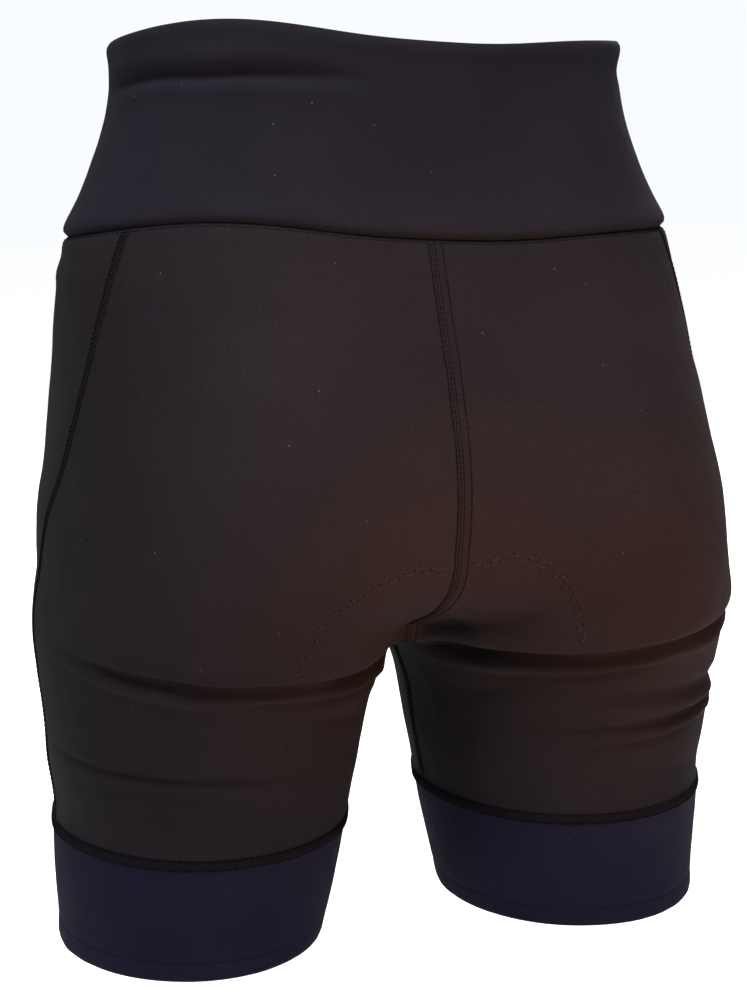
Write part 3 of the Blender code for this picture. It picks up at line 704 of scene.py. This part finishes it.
def makeBand():
    share = np.linspace(0, 1, band["rowHeights"])
    ease = share + 0.105 * np.sin(share * 2 * math.pi)
    levels = form["bandSeam"] * ease
    levels[-1] += panels["gap"] / 2
    half = leftHalf(levels, 30, 54)
    ring = np.concatenate([half, (half * (-1, 1, 1))[:, -2:0:-1]], 1)
    grid = settled(ring)
    z = levels[:, None]
    roll = band["roll"] * np.exp(-(((z + 0.0045) / 0.004) ** 2)) - 0.0012 * np.exp(-((z / 0.0012) ** 2))
    puff = band["puff"] * np.exp(-(((z - form["bandSeam"] - 0.005) / 0.006) ** 2))
    tuck = -0.0030 * np.exp(-(((z - form["bandSeam"]) / 0.0015) ** 2))
    outer, inner = clothWall(grid, band["wall"], band["proud"], roll + puff + tuck)
    piece = addCloth("waistband_cloth", outer, inner, "bandKnit", True)
    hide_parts("waistband")
    return outer


cuffs = {"wall": 0.0015, "proud": 0.0003, "rowHeights": 34, "padColumns": 30, "sideColumns": 50, "hemLine": -0.444}


def makeCuff(side, word):
    levels = np.linspace(form["cuffSeam"] - panels["gap"] / 2, form["hem"], cuffs["rowHeights"])
    grid = leftHalf(levels, cuffs["padColumns"], cuffs["sideColumns"])[:, :-1]
    if side < 0:
        grid = mirrored(grid)
    z = levels[:, None]
    hemLine = -0.0005 * np.exp(-(((z - cuffs["hemLine"]) / 0.0012) ** 2))
    edge = -0.0004 * np.exp(-(((z - form["hem"]) / 0.0010) ** 2))
    outer, inner = clothWall(grid, cuffs["wall"], cuffs["proud"], hemLine + edge)
    piece = addCloth("cuff_cloth_" + word, outer, inner, "cuffKnit", True)
    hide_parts("cuff_" + word)


bandOuter = makeBand()
makeCuff(1, "left")
makeCuff(-1, "right")
print("band and cuffs made")

# ---- the pad ----


def makePad():
    import bmesh
    mesh = bmesh.new()
    weights = mesh.verts.layers.deform.verify()
    columns = 15
    for sign in (1, -1):
        top = panels["padBackTop"] if sign > 0 else panels["padFrontTop"]
        rows = np.array(form["rows"])
        rows[np.argmin(np.abs(rows - crotchZ))] = crotchZ
        first, last = np.argmin(np.abs(rows - top)), np.argmin(np.abs(rows - panels["padWingEnd"]))
        fine = np.interp(np.arange(first * 3, last * 3 + 1) / 3, np.arange(len(rows)), rows)
        full = panelGrid(fine, sign, columns, 3, 0)
        full = full[:, : columns + 1] if sign > 0 else full[:, 3:]
        for side in (1, -1):
            grid = full if side > 0 else mirrored(full)
            turned = (sign < 0) != (side < 0)
            grid = settled(grid)
            depth = np.arange(columns + 1)[::-1] if not turned else np.arange(columns + 1)
            down = np.clip(np.minimum(top - fine, fine - panels["padWingEnd"]) / 0.020, 0, 1)
            across = np.clip(depth / 7.0, 0, 1)
            weight = np.outer(down, across)
            weight = weight * weight * (3 - 2 * weight)
            lift = creaseRise(grid) + weight * panels["padLift"] - panels["wall"] - 0.0003
            points = grid + formNormals(grid) * lift[..., None]
            corners = []
            for point, share in zip(points.reshape(-1, 3), weight.ravel()):
                corner = mesh.verts.new(point)
                corner[weights][0] = share
                corners.append(corner)
            wide = columns + 1
            for row in range(len(fine) - 1):
                for column in range(columns):
                    a = row * wide + column
                    b, c, d = a + 1, a + 1 + wide, a + wide
                    split = ((a, b, d), (b, c, d)) if turned else ((a, b, c), (a, c, d))
                    for face in split:
                        mesh.faces.new([corners[i] for i in face])
    bmesh.ops.remove_doubles(mesh, verts=mesh.verts, dist=0.00004)
    data = bpy.data.meshes.new("seatPad")
    mesh.to_mesh(data)
    mesh.free()
    layer = data.uv_layers.new(name="cloth")
    for loop in data.loops:
        point = data.vertices[loop.vertex_index].co
        layer.data[loop.index].uv = (point.x, point.y + point.z)
    data.materials.append(materials["padKnit"])
    pad = bpy.data.objects.new("seatPad", data)
    bpy.context.scene.collection.objects.link(pad)
    pad.vertex_groups.new(name="middle")
    thicken = pad.modifiers.new("thickness", "SOLIDIFY")
    thicken.thickness = 0.0075
    thicken.offset = -1
    thicken.vertex_group = "middle"
    thicken.thickness_vertex_group = 0.28
    data.polygons.foreach_set("use_smooth", np.ones(len(data.polygons), bool))
    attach(pad, "root")
    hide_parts("chamois_pad")
    return pad


pad = makePad()
print("pad made")

# ---- seams and stitches, laid on the outer faces ----


def outerTree():
    points, faces, offset = [], [], 0
    for corners, cells in outerFaces:
        points.append(corners)
        faces += [tuple(corner + offset for corner in cell) for cell in cells]
        offset += len(corners)
    return BVHTree.FromPolygons(np.concatenate(points).tolist(), faces)


tree = outerTree()


def laidOn(points, lift):  # moves points onto the cloth and out by lift
    result = []
    normals = formNormals(np.asarray(points, float))
    for point, out, high in zip(points, normals, np.broadcast_to(lift, len(points))):
        place, normal, _, _ = tree.find_nearest(Vector(point))
        normal = Vector(out) if normal is None or normal.dot(Vector(out)) < 0.3 else normal
        result.append(place + normal * float(high))
    return result


def resampled(line, spacing, closed=False):
    line = np.asarray(line, float)
    if closed:
        line = np.concatenate([line, line[:1]])
    count = max(int(lineLength(line) / spacing), 2)
    return onLine(line, np.linspace(0, lineLength(line), count + 1))


def acrossOf(line, closed=False):  # the direction over the cloth, square to a line
    line = np.asarray(line)
    if closed:
        run = np.roll(line, -1, axis=0) - np.roll(line, 1, axis=0)
    else:
        run = np.gradient(line, axis=0)
    side = np.cross(formNormals(line), run)
    return side / np.linalg.norm(side, axis=1, keepdims=True)


def addThreads(name, paths, radius, material):
    data = bpy.data.curves.new(name, "CURVE")
    data.dimensions = "3D"
    data.bevel_depth = radius
    data.bevel_resolution = 1
    data.use_fill_caps = True
    for path in paths:
        spline = data.splines.new("POLY")
        spline.points.add(len(path) - 1)
        for knot, place in zip(spline.points, path):
            knot.co = (*place, 1)
    data.materials.append(materials[material])
    piece = bpy.data.objects.new(name, data)
    bpy.context.scene.collection.objects.link(piece)
    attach(piece, "root")
    return piece


def needleLine(line, pitch, offset, closed=False, high=0.00028, low=-0.00035):
    points = resampled(line, pitch / 4, closed)  # four points a stitch: in, over, over, in
    shifted = points + acrossOf(points) * offset
    lift = np.array([low, high, high, high])[np.arange(len(points)) % 4]
    return laidOn(shifted, lift)


def crossThreads(line, pitch, halfWidth, closed=False, high=0.0003):
    points = resampled(line, pitch / 2, closed)
    swing = np.where(np.arange(len(points)) % 2 == 0, halfWidth, -halfWidth)
    return laidOn(points + acrossOf(points) * swing[:, None], high)


def addSeamStrip(name, line, halfWidth, rise, closed=False, material="seamKnit"):
    points = resampled(line, 0.0035, closed)
    if closed:
        points = points[:-1]
    side = acrossOf(points, closed)
    profile = ((-1.0, -0.0004), (-0.85, 0.35), (-0.4, 1.0), (0.0, 0.8), (0.4, 1.0), (0.85, 0.35), (1.0, -0.0004))
    rows = []
    for share, height in profile:
        lift = rise * height if height > 0 else -0.0003
        rows.append(laidOn(points + side * halfWidth * share, lift))
    grid = np.array(rows).transpose(1, 0, 2)
    under = grid - formNormals(points)[:, None] * 0.0006
    count, wide = grid.shape[:2]
    corners = np.concatenate([grid.reshape(-1, 3), under.reshape(-1, 3)])
    size = count * wide
    faces = []
    for row in range(count if closed else count - 1):
        below = (row + 1) % count
        for column in range(wide - 1):
            a, b = row * wide + column, row * wide + column + 1
            d, c = below * wide + column, below * wide + column + 1
            faces.append((a, b, c, d))
            faces.append((d + size, c + size, b + size, a + size))
        for column, flip in ((0, True), (wide - 1, False)):
            a, b = row * wide + column, below * wide + column
            face = (b, a, a + size, b + size)
            faces.append(face[::-1] if flip else face)
    for row, flip in () if closed else ((0, False), (count - 1, True)):
        for column in range(wide - 1):
            a, b = row * wide + column, row * wide + column + 1
            face = (b, a, a + size, b + size)
            faces.append(face[::-1] if flip else face)
    mesh = bpy.data.meshes.new(name)
    mesh.from_pydata(corners.tolist(), [], faces)
    layer = mesh.uv_layers.new(name="cloth")
    length = np.arange(count) * 0.0035
    for loop in mesh.loops:
        index = loop.vertex_index % size
        layer.data[loop.index].uv = ((index % wide) * halfWidth / 3, length[index // wide])
    mesh.polygons.foreach_set("use_smooth", np.ones(len(mesh.polygons), bool))
    mesh.materials.append(materials[material])
    mesh.validate()
    piece = bpy.data.objects.new(name, mesh)
    bpy.context.scene.collection.objects.link(piece)
    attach(piece, "root")
    return piece


def settledLine(line, side=1):
    grid = np.asarray(line, float)[None] * (side, 1, 1)
    return settled(grid)[0]


seams = {
    "sideHalfWidth": 0.0026,
    "centreHalfWidth": 0.0040,
    "cuffHalfWidth": 0.0030,
    "rise": 0.00038,
    "stitch": 0.0026,
    "threadRadius": 0.00023,
}
centreStitches = {"rows": (-0.88, -0.50, -0.12, 0.80), "cross": 0}
sideStitches = {"rows": (-0.86, -0.62, 0.74), "cross": 0.50}

belowBand = np.linspace(form["bandSeam"] - 0.001, form["cuffSeam"] + 0.003, 150)
sideLine = np.array([line[-1] for line in halfRows(belowBand, 1)])
inseamHeights = np.linspace(crotchZ - 0.0015, form["cuffSeam"] + 0.003, 50)
inseamLine = np.array([line[0] for line in halfRows(inseamHeights, 1)])
middleHeights = np.concatenate([np.linspace(form["bandSeam"] - 0.001, crotchZ + 0.03, 110),
                                crotchZ + 0.03 * np.linspace(1, 0.02, 60)[1:] ** 2])
middleLines = {sign: np.array([line[0] for line in halfRows(middleHeights, sign)]) for sign in (1, -1)}
bandHalf = leftHalf([form["bandSeam"]], 20, 40)[0]
bandRing = np.concatenate([bandHalf, (bandHalf * (-1, 1, 1))[-2:0:-1]])
cuffRing = leftHalf([form["cuffSeam"]], 20, 40)[0][:-1]
hemRing = leftHalf([cuffs["hemLine"]], 20, 40)[0][:-1]


def addFlatSeam(name, line, halfWidth, stitches, closed=False, cloth="seamKnit"):
    strip = addSeamStrip(name + "_strip", line, halfWidth, seams["rise"], closed, cloth)
    rise = seams["rise"]
    paths = [needleLine(line, seams["stitch"], halfWidth * share, closed, rise + 0.00005, rise - 0.0006)
             for share in stitches["rows"]]
    if stitches["cross"]:
        paths.append(crossThreads(line, seams["stitch"] * 0.9, halfWidth * stitches["cross"], closed, rise))
    threads = addThreads(name + "_threads", paths, seams["threadRadius"], "blackThread")
    return [strip, threads]


trims = {"back_left": [], "back_right": [], "front_left": [], "front_right": [], "waistband": [],
         "cuff_left": [], "cuff_right": []}
trims["back_left"] += addFlatSeam("centreBackSeam", settledLine(middleLines[1]), seams["centreHalfWidth"], centreStitches)
trims["front_left"] += addFlatSeam("centreFrontSeam", settledLine(middleLines[-1]), seams["centreHalfWidth"], centreStitches)
for side, word in ((1, "left"), (-1, "right")):
    trims["back_" + word] += addFlatSeam("sideSeam_" + word, settledLine(sideLine, side), seams["sideHalfWidth"],
                                          sideStitches, False, "sideSeamKnit")
    trims["front_" + word] += addFlatSeam("inseam_" + word, inseamLine * (side, 1, 1), seams["sideHalfWidth"],
                                           sideStitches)
    trims["cuff_" + word] += addFlatSeam("cuffSeam_" + word, cuffRing * (side, 1, 1), seams["cuffHalfWidth"],
                                          sideStitches, True, "cuffSeamKnit")
    hem = addThreads("hemStitch_" + word, [needleLine(hemRing * (side, 1, 1), 0.003, 0.0, True, 0.0001, -0.0003)],
                     0.00013, "navyThread")
    trims["cuff_" + word].append(hem)
bandStitch = addThreads("bandSeamStitch", [needleLine(settledLine(bandRing) - np.array((0, 0, 0.0016)), 0.0028, 0.0,
                                                      True, 0.0002, -0.0003)], 0.00016, "blackThread")
trims["waistband"].append(bandStitch)
print("seams made")

# the pad's zigzag stitching, as it shows through behind: places across and heights
zigzag = {
    "pitch": 0.0090,
    "swing": 0.0026,
    "left": ((0.007, -0.2485), (0.016, -0.2460), (0.027, -0.2450), (0.037, -0.2480), (0.046, -0.2510),
             (0.053, -0.2560), (0.060, -0.2600), (0.067, -0.2650), (0.0715, -0.2715), (0.0755, -0.2780),
             (0.0790, -0.2840), (0.0815, -0.2885)),
    "right": ((-0.006, -0.2480), (-0.012, -0.2450), (-0.020, -0.2435), (-0.028, -0.2430), (-0.036, -0.2450),
              (-0.043, -0.2485), (-0.0495, -0.2555), (-0.0550, -0.2625), (-0.0595, -0.2695), (-0.0620, -0.2760),
              (-0.0630, -0.2820), (-0.0625, -0.2885)),
}


def behindPoints(pairs):
    pairs = np.array(pairs)
    x, z = pairs[:, 0], pairs[:, 1]
    y = halvedTo(x * 0 + 0.02, x * 0 + 0.3, lambda depth: np.stack([x, depth, z], -1))
    return np.stack([x, y, z], -1)


zigPaths, needleHoleShade = [], []
for side in ("left", "right"):
    line = resampled(behindPoints(zigzag[side]), zigzag["pitch"] / 8)
    phase = np.arange(len(line)) * math.pi / 4
    swing = np.clip(np.arcsin(np.sin(phase)) / 1.5708, -1, 1) * zigzag["swing"]
    dip = np.where(np.arange(len(line)) % 2 == 0, 0.00022, 0.00012)
    zigLine = line + acrossOf(line) * swing[:, None]
    zigPaths.append(laidOn(zigLine, dip))
    for corner in range(2, len(line) - 1, 2):  # a short dark stroke at each corner and half way, painted shade standing in for the needle hole
        short = (zigLine[corner + 1] - zigLine[corner - 1]) * 0.16
        needleHoleShade.append(laidOn(np.stack([zigLine[corner] - short, zigLine[corner] + short]), 0.00024))
padStitch = addThreads("padZigzag", zigPaths, 0.00021, "padThread")
# dark strokes at the zigzag's corners: painted shade where the needle holes sink into the cloth
padHoleShade = addThreads("padNeedleHoleShade", needleHoleShade, 0.00032, "blackThread")
trims["back_right"].append(padHoleShade)
trims["back_right"].append(padStitch)
print("stitches made")

# ---- floor, light and camera ----

studio = {
    "floorHeight": -0.56,
    "floorColour": (0.76, 0.76, 0.76),
    "floorGlow": 0.74,  # keeps the paper pale where the camera sees it
    "airColour": (0.95, 0.975, 1.0),
    "fill": 0.31,  # soft light from all round
    "seenAir": 1.0,  # brightness of the backdrop itself
}


def addFloor():
    mesh = bpy.data.meshes.new("studioFloor")
    z = studio["floorHeight"]
    mesh.from_pydata([(-9, -9, z), (9, -9, z), (9, 9, z), (-9, 9, z)], [], [(0, 1, 2, 3)])
    material = bpy.data.materials.new("floorPaper")
    material.use_nodes = True
    nodes = material.node_tree
    shader = nodes.nodes["Principled BSDF"]
    noise = nodes.nodes.new("ShaderNodeTexNoise")
    noise.inputs["Scale"].default_value = 3.0
    paper = mixColour(nodes, noise.outputs["Fac"], (*studio["floorColour"], 1), (0.80, 0.80, 0.80, 1))
    nodes.links.new(paper, shader.inputs["Base Color"])
    shader.inputs["Roughness"].default_value = 0.95
    shader.inputs["Emission Color"].default_value = (1.0, 1.0, 1.0, 1)
    seen = nodes.nodes.new("ShaderNodeLightPath").outputs["Is Camera Ray"]
    nodes.links.new(mathNode(nodes, "MULTIPLY", seen, studio["floorGlow"]), shader.inputs["Emission Strength"])
    mesh.materials.append(material)
    floor = bpy.data.objects.new("studioFloor", mesh)
    bpy.context.scene.collection.objects.link(floor)


def addLight(name, place, target, size, power, colour, spread=180):
    data = bpy.data.lights.new(name, "AREA")
    data.size = size
    data.energy = power
    data.color = colour
    data.spread = math.radians(spread)
    light = bpy.data.objects.new(name, data)
    light.location = place
    light.rotation_euler = (Vector(target) - Vector(place)).to_track_quat("-Z", "Y").to_euler()
    bpy.context.scene.collection.objects.link(light)


def addWorld():
    world = bpy.data.worlds.new("studioAir")
    bpy.context.scene.world = world
    world.use_nodes = True
    backdrop = world.node_tree.nodes["Background"]
    backdrop.inputs["Color"].default_value = (*studio["worldColour"], 1)
    backdrop.inputs["Strength"].default_value = studio["worldStrength"]


def addWorld():
    world = bpy.data.worlds.new("studioAir")
    bpy.context.scene.world = world
    world.use_nodes = True
    tree = world.node_tree
    backdrop = tree.nodes["Background"]
    backdrop.inputs["Color"].default_value = (*studio["airColour"], 1)
    seen = tree.nodes.new("ShaderNodeLightPath").outputs["Is Camera Ray"]
    strength = mathNode(tree, "MULTIPLY_ADD", seen, studio["seenAir"] - studio["fill"], studio["fill"])
    tree.links.new(strength, backdrop.inputs["Strength"])


addFloor()
addWorld()
addLight("skyLight", (0.45, 1.00, 1.70), (0.02, 0.10, -0.12), 0.9, 60, (0.88, 0.89, 1.0))
addLight("warmBounce", (-0.32, 0.76, -0.53), (-0.04, 0.12, -0.300), 0.3, 0.58, (1.0, 0.38, 0.12), 28)
addLight("frontLight", (-0.8, -1.6, 1.0), (0, 0, -0.2), 1.4, 40, (1.0, 0.97, 0.93))

view = {"azimuth": 162.3, "distance": 1.07, "height": -0.046, "focalPixels": 2075.0, "pitch": 10.07, "roll": 0.95}


def addCamera():
    turn, pitch, roll = (math.radians(view[key]) for key in ("azimuth", "pitch", "roll"))
    back = Vector((math.sin(turn), -math.cos(turn), 0))
    right = Vector((math.cos(turn), math.sin(turn), 0))
    forward = -back * math.cos(pitch) + Vector((0, 0, -math.sin(pitch)))
    up = -back * math.sin(pitch) + Vector((0, 0, math.cos(pitch)))
    rolledUp = up * math.cos(roll) + right * math.sin(roll)
    rolledRight = right * math.cos(roll) - up * math.sin(roll)
    data = bpy.data.cameras.new("photoView")
    data.sensor_fit = "VERTICAL"
    data.sensor_height = 24.0
    data.lens = 24.0 * view["focalPixels"] / 1000
    data.clip_start = 0.05
    camera = bpy.data.objects.new("photoView", data)
    turned = Matrix((rolledRight, rolledUp, -forward)).transposed().to_4x4()
    turned.translation = back * view["distance"] + Vector((0, 0, view["height"]))
    camera.matrix_world = turned
    bpy.context.scene.collection.objects.link(camera)
    bpy.context.scene.camera = camera


addCamera()
bpy.context.scene.view_settings.view_transform = "Standard"
print("scene made")
